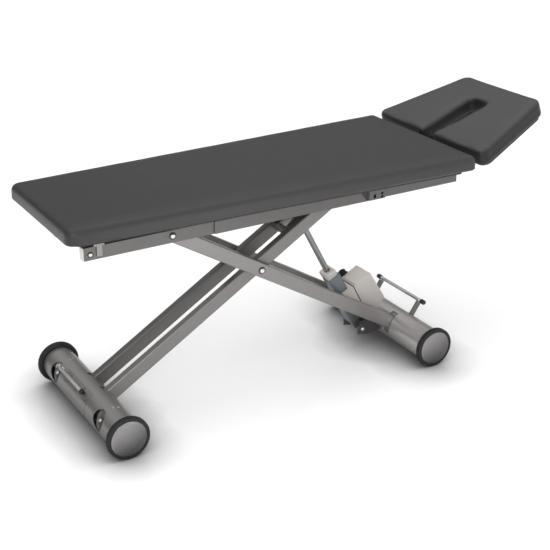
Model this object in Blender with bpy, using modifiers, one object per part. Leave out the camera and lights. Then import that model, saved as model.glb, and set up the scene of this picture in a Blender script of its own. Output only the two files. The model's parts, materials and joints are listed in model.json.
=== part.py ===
"""Medical exam table: scissor-lift undercarriage, two upholstered sections.

Metres, +Z up.  +X points to the head end, +Y to the far long side.  The origin
is on the floor under the middle of the table.  The two big round base tubes
stand on rubber rings; two pairs of arms cross between them and carry the top
frame.  Each moving group is modelled in a frame whose origin is its joint axis.
"""
from collections import namedtuple
from math import atan2, cos, hypot, pi, radians, sin, tan

import bmesh
import bpy

# ---------------------------------------------------------------- driving dimensions
GAP = 0.0003                # clearance between touching pieces
SIDES = (("near", -1), ("far", 1))
PAIR = (("a", -1), ("b", 1))

FOOT_X = -0.81725           # foot base axis
BASE_SPACING = 1.2388       # between the two base axes
HEAD_X = FOOT_X + BASE_SPACING
AXLE_Z = 0.0753             # rubber ring radius = axle height
AXLE_R = 0.008
TUBE_R, TUBE_WALL = 0.0604, 0.0035
TUBE_BORE_R = TUBE_R - TUBE_WALL

REST = radians(31.1)        # arm slope at rest
LOWER_ARM = BASE_SPACING / 2 / cos(REST)    # base axis to crossing
UPPER_ARM = 0.410                           # crossing to top pivot
INNER_Y, OUTER_Y = 0.0565, 0.0885           # centre planes of the arm pairs
ARM_W, ARM_H, ARM_WALL = 0.030, 0.0505, 0.003
CROSS_X = HEAD_X - LOWER_ARM * cos(REST)
CROSS_Z = AXLE_Z + LOWER_ARM * sin(REST)
FIXED_X = CROSS_X - UPPER_ARM * cos(REST)   # fixed top pivot
SLIDE_X = CROSS_X + UPPER_ARM * cos(REST)   # sliding top pivot
TOP_PIVOT_Z = CROSS_Z + UPPER_ARM * sin(REST)
AXLE_HOLE_R = AXLE_R + GAP

RAIL_Y, RAIL_W = 0.1185, 0.026
RAIL_Z0, RAIL_Z1 = 0.6370, 0.6808
RAIL_MID_Z, RAIL_H = (RAIL_Z0 + RAIL_Z1) / 2, RAIL_Z1 - RAIL_Z0
RAIL_X0, RAIL_X1 = FOOT_X - 0.0392, FOOT_X + 1.4418

PAD_T, PAD_Z0 = 0.0570, 0.7458              # thickness, underside
PAD_FOOT_X, PAD_HEAD_X = FOOT_X - 0.1437, FOOT_X + 1.3845
PAD_FOOT_HALF, PAD_HEAD_HALF = 0.2676, 0.3250
BOARD_T = 0.018
HINGE_X, HINGE_Z = FOOT_X + 1.3915, 0.7330

# actuator: lower pivot, direction up to the cross tube, length between its pins
ACT_X, ACT_Z = FOOT_X + 1.0957, 0.0780
ACT_DIR = radians(118.0)
ACT_LEN = 0.5645

# ---------------------------------------------------------------- finishes
Finish = namedtuple("Finish", "color roughness metallic")
FRAME = Finish(color=(0.215, 0.205, 0.200), roughness=0.38, metallic=0.75)
RUBBER = Finish(color=(0.020, 0.020, 0.019), roughness=0.75, metallic=0.0)
CAP_METAL = Finish(color=(0.200, 0.195, 0.195), roughness=0.35, metallic=0.80)
CHROME = Finish(color=(0.70, 0.70, 0.70), roughness=0.12, metallic=1.0)
ZINC = Finish(color=(0.62, 0.62, 0.60), roughness=0.28, metallic=1.0)
CREAM = Finish(color=(0.560, 0.530, 0.500), roughness=0.45, metallic=0.0)
GREY = Finish(color=(0.140, 0.150, 0.160), roughness=0.35, metallic=0.6)
BLACK = Finish(color=(0.012, 0.012, 0.013), roughness=0.30, metallic=0.0)
PLY = Finish(color=(0.045, 0.040, 0.036), roughness=0.70, metallic=0.0)
LEATHER = Finish(color=(0.055, 0.055, 0.056), roughness=0.42, metallic=0.0)
NYLON = Finish(color=(0.50, 0.49, 0.46), roughness=0.50, metallic=0.0)


def material(name, finish):
    mat = bpy.data.materials.new(name)
    mat.use_nodes = True
    shader = mat.node_tree.nodes["Principled BSDF"]
    shader.inputs["Base Color"].default_value = (*finish.color, 1)
    shader.inputs["Roughness"].default_value = finish.roughness
    shader.inputs["Metallic"].default_value = finish.metallic
    return mat


# ---------------------------------------------------------------- scene
for old in list(bpy.data.objects):
    bpy.data.objects.remove(old, do_unlink=True)

PARTS = bpy.data.collections.new("medical_exam_table")
CUTTERS = bpy.data.collections.new("cutters")
bpy.context.scene.collection.children.link(PARTS)
bpy.context.scene.collection.children.link(CUTTERS)


# ---------------------------------------------------------------- solids
# A solid without a finish is a hidden helper for a boolean.
ORIGIN = (0, 0, 0)
AXES = {"X": (0, pi / 2, 0), "Y": (-pi / 2, 0, 0), "Z": (0, 0, 0), "-Y": (pi / 2, 0, 0)}


def add(name, mesh, finish, loc, rot=(0, 0, 0), parent=None, smooth=True):
    obj = bpy.data.objects.new(name, mesh)
    obj.location, obj.rotation_euler, obj.parent = loc, rot, parent
    if finish is None:
        CUTTERS.objects.link(obj)
        obj.hide_render = True
        obj.display_type = "WIRE"
        return obj
    PARTS.objects.link(obj)
    mesh.materials.append(material(name, finish))
    if smooth:
        mesh.shade_smooth()
        mesh.set_sharp_from_angle(angle=radians(32))
    return obj


def joint(name, loc, slope):
    """Empty on a joint axis; its local +X rises at the slope, local Y is the axis."""
    frame = bpy.data.objects.new(name, None)
    frame.empty_display_size = 0.05
    PARTS.objects.link(frame)
    frame.location, frame.rotation_euler = loc, (0, -slope, 0)
    return frame


def mesh_from(bm, name):
    mesh = bpy.data.meshes.new(name)
    bm.to_mesh(mesh)
    bm.free()
    return mesh


def box(name, loc, size, finish=None, parent=None):
    bm = bmesh.new()
    bmesh.ops.create_cube(bm, size=1.0)
    bmesh.ops.scale(bm, vec=size, verts=bm.verts)
    return add(name, mesh_from(bm, name), finish, loc, parent=parent, smooth=False)


def rod(name, loc, radius, length, finish=None, axis="Y", n=24, parent=None):
    bm = bmesh.new()
    bmesh.ops.create_cone(bm, cap_ends=True, segments=n, radius1=radius, radius2=radius,
                          depth=length)
    return add(name, mesh_from(bm, name), finish, loc, AXES[axis], parent)


def turned(name, loc, profile, finish, axis="Y", n=40, closed=False, parent=None):
    """Profile points (radius, height), outer side running downwards."""
    verts = [(r, 0, h) for r, h in profile]
    edges = [(i, i + 1) for i in range(len(verts) - 1)]
    if closed:
        edges.append((len(verts) - 1, 0))
    mesh = bpy.data.meshes.new(name)
    mesh.from_pydata(verts, edges, [])
    obj = add(name, mesh, finish, loc, AXES[axis], parent, smooth=False)
    screw = obj.modifiers.new("turn", "SCREW")
    screw.axis, screw.angle, screw.screw_offset = "Z", 2 * pi, 0
    screw.steps = screw.render_steps = n
    screw.use_merge_vertices, screw.merge_threshold = True, 0.00005
    screw.use_smooth_shade = True
    return obj


def slab(name, outline, half, finish=None, loc=ORIGIN, parent=None, flat=False):
    """Outline with thickness +-half.  It stands in XZ, or lies in XY if flat."""
    curve = bpy.data.curves.new(name, "CURVE")
    curve.dimensions, curve.fill_mode, curve.extrude = "2D", "BOTH", half
    spline = curve.splines.new("POLY")
    spline.points.add(len(outline) - 1)
    for point, (x, y) in zip(spline.points, outline):
        point.co = (x, y, 0, 1)
    spline.use_cyclic_u = True
    source = bpy.data.objects.new(name + "_outline", curve)
    CUTTERS.objects.link(source)
    bpy.context.view_layer.update()
    depsgraph = bpy.context.evaluated_depsgraph_get()
    mesh = bpy.data.meshes.new_from_object(source.evaluated_get(depsgraph))
    bpy.data.objects.remove(source)
    bpy.data.curves.remove(curve)
    mesh.name = name
    # weld the caps to the sides so that the solid is closed
    bm = bmesh.new()
    bm.from_mesh(mesh)
    bmesh.ops.remove_doubles(bm, verts=bm.verts, dist=0.00001)
    bmesh.ops.recalc_face_normals(bm, faces=bm.faces)
    bm.to_mesh(mesh)
    bm.free()
    mesh.materials.clear()
    return add(name, mesh, finish, loc, (0, 0, 0) if flat else (pi / 2, 0, 0), parent)


def bevel(obj, width, segments=1, angle=35):
    mod = obj.modifiers.new("round", "BEVEL")
    mod.width, mod.segments, mod.limit_method = width, segments, "ANGLE"
    mod.angle_limit = radians(angle)
    return obj


def boolean(obj, helper, operation):
    """The helper shares the frame of the piece it works on."""
    helper.parent = obj.parent
    mod = obj.modifiers.new(operation.lower(), "BOOLEAN")
    mod.operation, mod.object, mod.solver = operation, helper, "EXACT"


def cut(obj, helper):
    boolean(obj, helper, "DIFFERENCE")


def join(obj, helper):
    boolean(obj, helper, "UNION")


# ---------------------------------------------------------------- outlines
def arc(cx, cy, r, a0, a1, n):
    """n steps of arc, angles in degrees."""
    angles = [radians(a0 + (a1 - a0) * i / n) for i in range(n + 1)]
    return [(cx + r * cos(a), cy + r * sin(a)) for a in angles]


def rounded(corners, n=5):
    """Polygon of corners (x, y, radius), each replaced by an arc of n steps."""
    out = []
    for i, (x, y, r) in enumerate(corners):
        if r <= 0:
            out.append((x, y))
            continue
        before, after = corners[i - 1], corners[(i + 1) % len(corners)]
        ux, uy = before[0] - x, before[1] - y
        vx, vy = after[0] - x, after[1] - y
        u_len, v_len = hypot(ux, uy), hypot(vx, vy)
        ux, uy, vx, vy = ux / u_len, uy / u_len, vx / v_len, vy / v_len
        half = (pi - abs(atan2(ux * vy - uy * vx, ux * vx + uy * vy))) / 2
        tangent = r * tan(half)
        # arc centre on the bisector
        bx, by = ux + vx, uy + vy
        b_len, reach = hypot(bx, by), r / cos(half)
        cx, cy = x + bx / b_len * reach, y + by / b_len * reach
        start = atan2(y + uy * tangent - cy, x + ux * tangent - cx)
        end = atan2(y + vy * tangent - cy, x + vx * tangent - cx)
        sweep = (end - start + pi) % (2 * pi) - pi
        angles = [start + sweep * j / n for j in range(n + 1)]
        out += [(cx + r * cos(a), cy + r * sin(a)) for a in angles]
    return out


def slot(x0, x1, r, n=6):
    """Round-ended slot between two centres on the x axis."""
    return arc(x1, 0, r, -90, 90, n) + arc(x0, 0, r, 90, 270, n)


def wrap(centres, r, n=12):
    """Convex outline round equal circles, counter-clockwise."""
    angles = [2 * pi * i / n for i in range(n)]
    points = sorted({(cx + r * cos(a), cy + r * sin(a)) for cx, cy in centres for a in angles})
    out = []
    for run in (points, points[::-1]):
        part = []
        for p in run:
            while len(part) > 1:
                (x0, y0), (x1, y1) = part[-2:]
                if (x1 - x0) * (p[1] - y0) - (y1 - y0) * (p[0] - x0) > 0:
                    break
                part.pop()
            part.append(p)
        out += part[:-1]
    return out


def mirrored(half):
    """Whole turned profile from its upper half."""
    return half + [(r, -h) for r, h in reversed(half)]


# ---------------------------------------------------------------- base tubes
TUBE_HALF = 0.3138
CASTOR_Y = 0.190
WINDOW_DIR = radians(156)
# (radius, distance from the table's middle plane)
RING = [(0.0638, 0.3164), (0.0715, 0.3156), (AXLE_Z, 0.3118), (AXLE_Z, 0.2995),
        (0.0715, 0.2938), (0.0609, 0.2925), (0.0609, 0.3140), (0.0638, 0.3142)]
END_CAP = [(0, 0.3185), (0.036, 0.3180), (0.0605, 0.3164), (0.0633, 0.3150),
           (0.0633, 0.3145), (0.0562, 0.3143), (0.0562, 0.3000), (0.0530, 0.3000),
           (0.0530, 0.3120), (0, 0.3120)]


def base_tube(tag, x):
    """Tube with its rings and end caps, open underneath for the castors."""
    profile = [(TUBE_R, TUBE_HALF), (TUBE_R, -TUBE_HALF),
               (TUBE_BORE_R, -TUBE_HALF), (TUBE_BORE_R, TUBE_HALF)]
    tube = turned(tag + "_tube", (x, 0, AXLE_Z), profile, FRAME, closed=True)
    for side, s in SIDES:
        axis = "Y" if s > 0 else "-Y"
        turned(f"{tag}_ring_{side}", (x, 0, AXLE_Z), RING, RUBBER, axis, 32, closed=True)
        turned(f"{tag}_cap_{side}", (x, 0, AXLE_Z), END_CAP, CAP_METAL, axis, 32)
        cut(tube, box(f"cut_{tag}_castor_{side}", (x, s * CASTOR_Y, AXLE_Z - 0.055),
                      (0.062, 0.062, 0.060)))
    return tube


def arm_slot(tube, name, x, y):
    cut(tube, box(name, (x, y, AXLE_Z + 0.0225), (0.076, ARM_W + 0.004, 0.078)))


def head_base():
    """Base tube with slots for the outer arms and the pedal posts."""
    tube = base_tube("head", HEAD_X)
    for side, s in SIDES:
        arm_slot(tube, "cut_head_arm_" + side, HEAD_X - 0.055, s * OUTER_Y)
        cut(tube, box("cut_pedal_" + side, (HEAD_X + 0.049, s * POST_Y, AXLE_Z + 0.044),
                      (0.062, 0.0090, 0.072)))


def foot_base():
    """Base tube with slots for the inner arms and round windows at the castors."""
    tube = base_tube("foot", FOOT_X)
    for side, s in SIDES:
        arm_slot(tube, "cut_foot_arm_" + side, FOOT_X + 0.055, s * INNER_Y)
        centre = (FOOT_X + 0.055 * cos(WINDOW_DIR), s * CASTOR_Y,
                  AXLE_Z + 0.055 * sin(WINDOW_DIR))
        window = rod("cut_window_" + side, centre, 0.0368, 0.060)
        window.rotation_euler = (0, pi / 2 - WINDOW_DIR, 0)
        cut(tube, window)
    foot_cover(tube)


def foot_cover(tube):
    """Thin curved cover let into the tube on the side away from the head base."""
    a0, a1, y0, y1 = 113, 235, -0.084, 0.128    # degrees about the axle, ends along Y
    play_angle, play_y = 0.6, 0.0006
    cut(tube, shell_sector("cut_cover", TUBE_R - 0.0012, TUBE_R + 0.004, a0, a1, y0, y1))
    shell_sector("foot_cover", TUBE_R - 0.0008, TUBE_R + 0.0006, a0 + play_angle,
                 a1 - play_angle, y0 + play_y, y1 - play_y, FRAME)


def shell_sector(name, r0, r1, a0, a1, y0, y1, finish=None):
    outline = arc(0, 0, r1, a0, a1, 10) + arc(0, 0, r0, a1, a0, 10)
    return slab(name, outline, (y1 - y0) / 2, finish, (FOOT_X, (y0 + y1) / 2, AXLE_Z))


def axle(tag, x, end, disc_y):
    """Axle of one base, with the two welded support discs as one turned piece."""
    disc_end, disc_r = disc_y + 0.004, TUBE_BORE_R - GAP
    half = [(0, end), (AXLE_R, end), (AXLE_R, disc_end), (disc_r, disc_end),
            (disc_r, disc_y), (AXLE_R, disc_y)]
    turned(tag + "_axle", (x, 0, AXLE_Z), mirrored(half), ZINC, n=24)


# ---------------------------------------------------------------- castors
WHEEL_R, WHEEL_W = 0.024, 0.017
WHEEL_Z = AXLE_Z - 0.022


def castor_fork(tag, side, x, y):
    """Crown with two cheeks, wheel pin and stem."""
    fork = box(f"{tag}_castor_fork_{side}", (x, y, AXLE_Z + 0.0110), (0.030, 0.034, 0.012), BLACK)
    name = f"join_{tag}_{side}_"
    for letter, e in PAIR:
        join(fork, box(name + letter, (x, y + e * 0.0135, AXLE_Z - 0.0085),
                       (0.020, 0.0045, 0.043)))
    join(fork, rod(name + "pin", (x, y, WHEEL_Z), 0.0035, 0.0380, n=8))
    join(fork, rod(name + "stem", (x, y, AXLE_Z + 0.026), 0.010, 0.024, axis="Z", n=12))


def castor_wheel(tag, side, x, y):
    half, bore, tread = WHEEL_W / 2, 0.0040, WHEEL_R - 0.003
    profile = [(tread, half), (WHEEL_R, half - 0.004), (WHEEL_R, 0.004 - half),
               (tread, -half), (bore, -half), (bore, half)]
    turned(f"{tag}_castor_wheel_{side}", (x, y, WHEEL_Z), profile, RUBBER, n=18, closed=True)


# ---------------------------------------------------------------- castor lever
# folded along the foot tube, its pivot in the far window; local +Z is radially outward
LEVER_DIR = radians(131)
LEVER_Y = 0.181
LEVER_R = TUBE_R + 0.0095       # tube axis to lever pivot


def foot_lever(frame):
    lever = box("foot_lever", (0, -0.1040, 0), (0.0100, 0.2060, 0.0050), CHROME, frame)
    join(lever, rod("join_lever_eye", ORIGIN, 0.0065, 0.0100, axis="X", n=20))
    cut(lever, rod("cut_lever_eye", ORIGIN, 0.0033, 0.0300, axis="X", n=16))


def lever_pivot(frame):
    """Base plate with a clevis and its pin."""
    plate = box("lever_pivot", (0, 0.0080, -0.0178), (0.0240, 0.0480, 0.0040), CHROME, frame)
    for letter, e in PAIR:
        join(plate, box("join_clevis_" + letter, (e * 0.0073, 0, -0.0060),
                        (0.0030, 0.0120, 0.0240)))
    join(plate, rod("join_clevis_pin", ORIGIN, 0.0030, 0.0190, axis="X", n=16))


def lever_knob(frame):
    """Ball with a socket for the lever's end."""
    name = "foot_lever_knob"
    bm = bmesh.new()
    bmesh.ops.create_uvsphere(bm, u_segments=16, v_segments=8, radius=0.0095)
    knob = add(name, mesh_from(bm, name), BLACK, (0, -0.2170, 0.0005), parent=frame)
    cut(knob, box("cut_knob", (0, -0.2050, 0), (0.0106, 0.0046, 0.0056)))


def castor_lever():
    frame = joint("lever_axis", (FOOT_X + LEVER_R * cos(LEVER_DIR), LEVER_Y,
                                 AXLE_Z + LEVER_R * sin(LEVER_DIR)), LEVER_DIR - pi / 2)
    foot_lever(frame)
    lever_pivot(frame)
    lever_knob(frame)


# ---------------------------------------------------------------- castor pedal
PEDAL_DIR = radians(55.8)
POST_Y, POST_T = 0.1200, 0.0060
PEDAL_R = 0.1230                # head axle to cross bar
# (radius, distance from the table's middle plane)
GRIP = [(0, 0.1530), (0.0062, 0.1524), (0.0086, 0.1500), (0.0092, 0.1470),
        (0.0092, 0.1318), (0, 0.1318)]


def castor_pedal():
    """Two radial posts on the head axle and a cross bar with grips."""
    frame = joint("pedal_axis", (HEAD_X, 0, AXLE_Z), PEDAL_DIR - pi / 2)
    pedal = rod("pedal_frame", (0, 0, PEDAL_R), 0.0065, 0.262, CHROME, n=20, parent=frame)
    for side, s in SIDES:
        join(pedal, box("join_post_" + side, (0, s * POST_Y, 0.0705), (0.022, POST_T, 0.105)))
        join(pedal, rod("join_hub_" + side, (0, s * POST_Y, 0), 0.021, POST_T, n=18))
        turned("pedal_grip_" + side, (0, 0, PEDAL_R), GRIP, BLACK, "Y" if s > 0 else "-Y", 16,
               parent=frame)
    cut(pedal, rod("cut_hub", ORIGIN, 0.0085, 0.30))


# ---------------------------------------------------------------- arms
ARM_END = 0.022         # arm beyond its last pivot
CROSS_HOLE_R = 0.0103
# upper halves, (radius, height): domed head, washer, shaft
CROSS_SHAFT = [(0, 0.1105), (0.0070, 0.1095), (0.0098, 0.1066), (0.0098, 0.1052),
               (0.0128, 0.1052), (0.0128, 0.1039), (0.0098, 0.1039)]
FRAME_SHAFT = [(0, 0.1385), (0.0066, 0.1374), (0.0092, 0.1346), (0.0092, 0.1332),
               (0.0122, 0.1332), (0.0122, 0.1319), (AXLE_R, 0.1319)]
SLIDE_AXLE = [(0, 0.1290), (0.0070, 0.1290), (AXLE_R, 0.1280)]


def arm_pair(tag, y, x0, x1, holes, frame):
    """Rectangular tubes along local X, open at both ends, with cross holes (x, radius)."""
    mid, length = (x0 + x1) / 2, x1 - x0
    for side, s in SIDES:
        arm = box(f"{tag}_arm_{side}", (mid, s * y, 0), (length, ARM_W, ARM_H), FRAME, frame)
        bevel(arm, 0.0030)
        cut(arm, box(f"cut_{tag}_core_{side}", (mid, s * y, 0),
                     (length + 0.02, ARM_W - 2 * ARM_WALL, ARM_H - 2 * ARM_WALL)))
        for i, (x, r) in enumerate(holes):
            cut(arm, rod(f"cut_{tag}_hole{i}_{side}", (x, s * y, 0), r, ARM_W + 0.02, n=16))


def outer_arms():
    """Frame on the head axle; the arms run along local -X."""
    frame = joint("outer_arms_axis", (HEAD_X, 0, AXLE_Z), -REST)
    top = -(LOWER_ARM + UPPER_ARM)
    holes = [(0, AXLE_HOLE_R), (-LOWER_ARM, CROSS_HOLE_R), (top, AXLE_HOLE_R)]
    arm_pair("outer", OUTER_Y, top - ARM_END, ARM_END, holes, frame)


def inner_arms():
    """Frame on the crossing; the cross tube of the drive moves with the arms."""
    frame = joint("inner_arms_axis", (CROSS_X, 0, CROSS_Z), REST)
    holes = [(-LOWER_ARM, AXLE_HOLE_R), (0, CROSS_HOLE_R), (UPPER_ARM, AXLE_HOLE_R)]
    arm_pair("inner", INNER_Y, -LOWER_ARM - ARM_END, UPPER_ARM + ARM_END, holes, frame)
    drive_cross_tube(frame)


def drive_cross_tube(frame):
    """Tube between the inner arms with two ears; the rod pin works in their windows."""
    radius, offset = 0.0150, -0.075     # offset: tube axis from the rod pin
    # circle centres round which the windows are wrapped, from the rod pin
    pin_run = [(-0.0014, 0.0010), (-0.0006, -0.0010), (0.0240, 0.0112), (0.0245, -0.0135)]
    pin_x = hypot(ACT_X + ACT_LEN * cos(ACT_DIR) - CROSS_X,
                  ACT_Z + ACT_LEN * sin(ACT_DIR) - CROSS_Z)
    tube = rod("drive_cross_tube", (pin_x + offset, 0, 0), radius,
               2 * (INNER_Y - ARM_W / 2) - 2 * GAP, FRAME, parent=frame)
    for side, s in SIDES:
        join(tube, slab("join_ear_" + side, wrap([(offset, 0)] + pin_run, radius), 0.0025,
                        loc=(pin_x, s * 0.0230, 0)))
    cut(tube, slab("cut_ear_window", wrap(pin_run, 0.0076), 0.040, loc=(pin_x, 0, 0)))


# ---------------------------------------------------------------- actuator
# in the actuator frame local +X runs up the spindle, local -Z is the head side
ACT_PIN_R = 0.0060
COVER_HALF = 0.0425
SPLIT, SEAM = -0.0485, 0.0009       # parting plane of the casing, half its gap
HOUSING_X, HOUSING_Z = 0.1466, -0.0045
# corners (x, z, radius)
GEARBOX_BASE = [(0.105, SPLIT + SEAM, 0.002), (0.105, 0.0170, 0.004), (0.130, 0.0262, 0.006),
                (0.183, -0.0010, 0.004), (0.183, SPLIT + SEAM, 0.001)]
GEARBOX_COVER = [(0.098, SPLIT - SEAM, 0.002), (0.1800, SPLIT - SEAM, 0.001),
                 (0.1870, -0.0600, 0.003), (0.1870, -0.1325, 0.007),
                 (0.0445, -0.1420, 0.008), (0.0300, -0.0915, 0.006)]
# hollow of the cover (x, z)
COVER_INSIDE = [(0.1025, -0.040), (0.1765, -0.040), (0.1765, -0.0500), (0.1835, -0.0610),
                (0.1835, -0.1288), (0.0475, -0.1378), (0.0345, -0.0920)]


def drive_bracket():
    """Two cheeks from the head tube to the lower pivot, bridged near the tube."""
    reach, cheek_y, cheek_half = HEAD_X - ACT_X, 0.0470, 0.0025
    cheek = [(-0.022, -0.018), (0.020, -0.026)]
    cheek += arc(reach, AXLE_Z - ACT_Z, TUBE_R + 0.0006, 196.5, 158, 8)
    cheek += [(0.034, 0.027), (-0.010, 0.022), (-0.022, 0.010)]
    bracket = slab("drive_bracket", cheek, cheek_half, FRAME, (ACT_X, -cheek_y, ACT_Z))
    join(bracket, slab("join_cheek", cheek, cheek_half, loc=(ACT_X, cheek_y, ACT_Z)))
    join(bracket, box("join_bridge", (ACT_X + reach - 0.0705, 0, ACT_Z - 0.002),
                      (0.0050, 0.0960, 0.0340)))
    join(bracket, rod("join_bracket_pin", (ACT_X, 0, ACT_Z), ACT_PIN_R, 0.1040, n=16))


def spindle_housing(frame):
    """Bored square housing with the lower eye."""
    housing = box("spindle_housing", (HOUSING_X, 0, HOUSING_Z), (0.2312, 0.0520, 0.0530), GREY,
                  frame)
    bevel(housing, 0.005, 2)
    cut(housing, rod("cut_spindle_bore", (0.158, 0, 0), 0.0125, 0.244, axis="X", n=20))
    join(housing, slab("join_housing_eye", slot(0.0, 0.0210, 0.0130), 0.0100))
    cut(housing, rod("cut_housing_eye", ORIGIN, ACT_PIN_R + GAP, 0.060, n=16))


def spindle_collar(frame):
    centre = (0.2768, 0, 0.0)
    collar = box("spindle_collar", centre, (0.0280, 0.0560, 0.0460), CREAM, frame)
    bevel(collar, 0.006, 2)
    cut(collar, rod("cut_collar_bore", centre, 0.0118, 0.060, axis="X"))


def gearbox_base(frame):
    """Half of the casing round the housing."""
    base = slab("gearbox_base", rounded(GEARBOX_BASE, 3), COVER_HALF, CREAM, parent=frame)
    cut(base, box("cut_base_housing", (0.146, 0, HOUSING_Z), (0.2340, 0.0526, 0.0536)))
    cut(base, box("cut_base_shoulder", (0.1700, 0.0420, 0.0000), (0.0900, 0.0260, 0.0920)))


def gearbox_cover(frame):
    """Hollow half of the casing, open towards the base."""
    cover = slab("gearbox_cover", rounded(GEARBOX_COVER, 4), COVER_HALF, CREAM, parent=frame)
    bevel(cover, 0.0025, 2, angle=60)
    cut(cover, slab("cut_cover_inside", COVER_INSIDE, COVER_HALF - 0.0035))


def drive_motor(frame):
    """Small motor flanged to the far face of the casing."""
    radius, z = 0.0143, -0.0710
    y = COVER_HALF + GAP + radius
    motor = rod("drive_motor", (0.1345, y, z), radius, 0.1240, BLACK, "X", parent=frame)
    join(motor, box("join_motor_foot", (0.1200, y - radius / 2, z), (0.0700, radius, 0.0240)))


def spindle_rod(frame):
    """Chromed inner rod with its eye and pin; it slides along the spindle axis."""
    x0, x1 = 0.1830, ACT_LEN - 0.012
    tip = (ACT_LEN, 0, 0)
    inner = rod("spindle_rod", ((x0 + x1) / 2, 0, 0), 0.0110, x1 - x0, CHROME, "X", 20, frame)
    join(inner, slab("join_rod_eye", slot(-0.016, 0.0, 0.0130), 0.0090, loc=tip))
    join(inner, rod("join_rod_pin", tip, ACT_PIN_R, 0.0580, n=16))


def actuator():
    frame = joint("actuator_axis", (ACT_X, 0, ACT_Z), ACT_DIR)
    for piece in (spindle_housing, spindle_collar, gearbox_base, gearbox_cover, drive_motor,
                  spindle_rod):
        piece(frame)


# ---------------------------------------------------------------- rails
CHAN_X0, CHAN_X1 = FOOT_X + 0.421, FOOT_X + 1.108
CHAN_MID, CHAN_LEN = (CHAN_X0 + CHAN_X1) / 2, CHAN_X1 - CHAN_X0
CHAN_EXTRA = 0.005              # added width on the outer face
# (x from the foot base axis, z)
RECESS = [(1.004, 0.6765), (1.030, 0.6420), (1.0385, 0.6420), (1.0385, 0.6765)]


def rail(side, s):
    """Rail tube, thickened outwards between the channel ends."""
    y = s * RAIL_Y
    bar = box("rail_" + side, ((RAIL_X0 + RAIL_X1) / 2, y, RAIL_MID_Z),
              (RAIL_X1 - RAIL_X0, RAIL_W, RAIL_H), FRAME)
    join(bar, box("join_channel_" + side, (CHAN_MID, s * (RAIL_Y + CHAN_EXTRA / 2), RAIL_MID_Z),
                  (CHAN_LEN, RAIL_W + CHAN_EXTRA, RAIL_H)))
    # hollow of the tube ends
    for end, x, length in (("foot", 0.310, 0.740), ("head", 1.290, 0.350)):
        cut(bar, box(f"cut_{end}_bore_{side}", (FOOT_X + x, y, RAIL_MID_Z),
                     (length, RAIL_W - 0.005, RAIL_H - 0.005)))
    # shallow four-sided recess in the outer face
    cut(bar, slab("cut_recess_" + side, RECESS, 0.0025, loc=(FOOT_X, s * 0.1375, 0)))
    # run of the slide block, open inwards
    cut(bar, box("cut_run_" + side, (CHAN_MID + 0.130, s * (RAIL_Y - 0.001), RAIL_MID_Z),
                 (CHAN_LEN - 0.290, RAIL_W + 0.006, RAIL_H - 0.008)))
    cut(bar, rod("cut_pivot_" + side, (FIXED_X, y, TOP_PIVOT_Z), AXLE_HOLE_R, 0.08, n=20))
    cut(bar, rod("cut_end_bolt_" + side, (FOOT_X - 0.018, y, 0.6560), 0.0030, 0.08, n=12))


def rail_end_cap(side, s):
    """Plate and plug closing the foot end of a rail."""
    y, play = s * RAIL_Y, 0.0058
    cap = box("rail_end_cap_" + side, (RAIL_X0 - 0.0025, y, RAIL_MID_Z),
              (0.0040, RAIL_W, RAIL_H), CREAM)
    bevel(cap, 0.001)
    join(cap, box("join_plug_" + side, (RAIL_X0 + 0.0050, y, RAIL_MID_Z),
                  (0.0140, RAIL_W - play, RAIL_H - play)))


def clamp_bracket(side, s):
    """Small plate on the rail's outer face with an upright slot and two holes."""
    y = s * (RAIL_Y + 0.0208)
    clamp = box("clamp_bracket_" + side, (FOOT_X + 1.0760, y, RAIL_MID_Z - 0.0010),
                (0.0700, 0.0045, 0.0400), FRAME)
    bevel(clamp, 0.0010)
    upright = [(z, x) for x, z in reversed(slot(-0.006, 0.004, 0.0030))]
    cut(clamp, slab("cut_clamp_slot_" + side, upright, 0.02,
                    loc=(FOOT_X + 1.0640, y, RAIL_MID_Z - 0.006)))
    for letter, dz in (("a", -0.0135), ("b", -0.0005)):
        cut(clamp, rod(f"cut_clamp_{letter}_{side}", (FOOT_X + 1.0960, y, RAIL_MID_Z + dz),
                       0.0026, 0.02, n=12))


def slide_block(side, s):
    y = s * RAIL_Y
    block = box("slide_block_" + side, (SLIDE_X, y, RAIL_MID_Z), (0.0400, 0.0200, 0.0345), NYLON)
    bevel(block, 0.003)
    cut(block, rod("cut_block_" + side, (SLIDE_X, y, TOP_PIVOT_Z), AXLE_HOLE_R, 0.05, n=20))


# ---------------------------------------------------------------- cross members
# between the rails and the board
MEMBER_Z0, MEMBER_Z1 = RAIL_Z1 + GAP, PAD_Z0 - BOARD_T - 2 * GAP
MEMBER_Z, MEMBER_H = (MEMBER_Z0 + MEMBER_Z1) / 2, MEMBER_Z1 - MEMBER_Z0
HEAD_MEMBER_X = FOOT_X + 1.3200
CHEEK_Z = 0.7058                # height of the cheek outline's origin
CHEEK_TOP = HINGE_Z - CHEEK_Z + 0.0098
SPRING_Z = HINGE_Z - 0.0614     # gas spring axis
# corners (x, z, radius)
HINGE_CHEEK = [(-0.0100, -0.0180, 0), (0.0620, -0.0180, 0.008), (0.0815, 0.0080, 0.006),
               (0.0815, CHEEK_TOP, 0.0092), (0.0610, CHEEK_TOP, 0.005),
               (0.0520, 0.0195, 0), (-0.0100, 0.0195, 0)]


def foot_cross_member():
    """Member with an upright plate at each end."""
    x = FOOT_X + 0.0120
    member = box("cross_member_foot", (x, 0, MEMBER_Z), (0.0360, 0.2690, MEMBER_H), FRAME)
    for side, s in SIDES:
        join(member, box("join_upright_" + side, (x, s * 0.1338, 0.6865),
                         (0.0190, 0.0038, 0.0800)))


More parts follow.
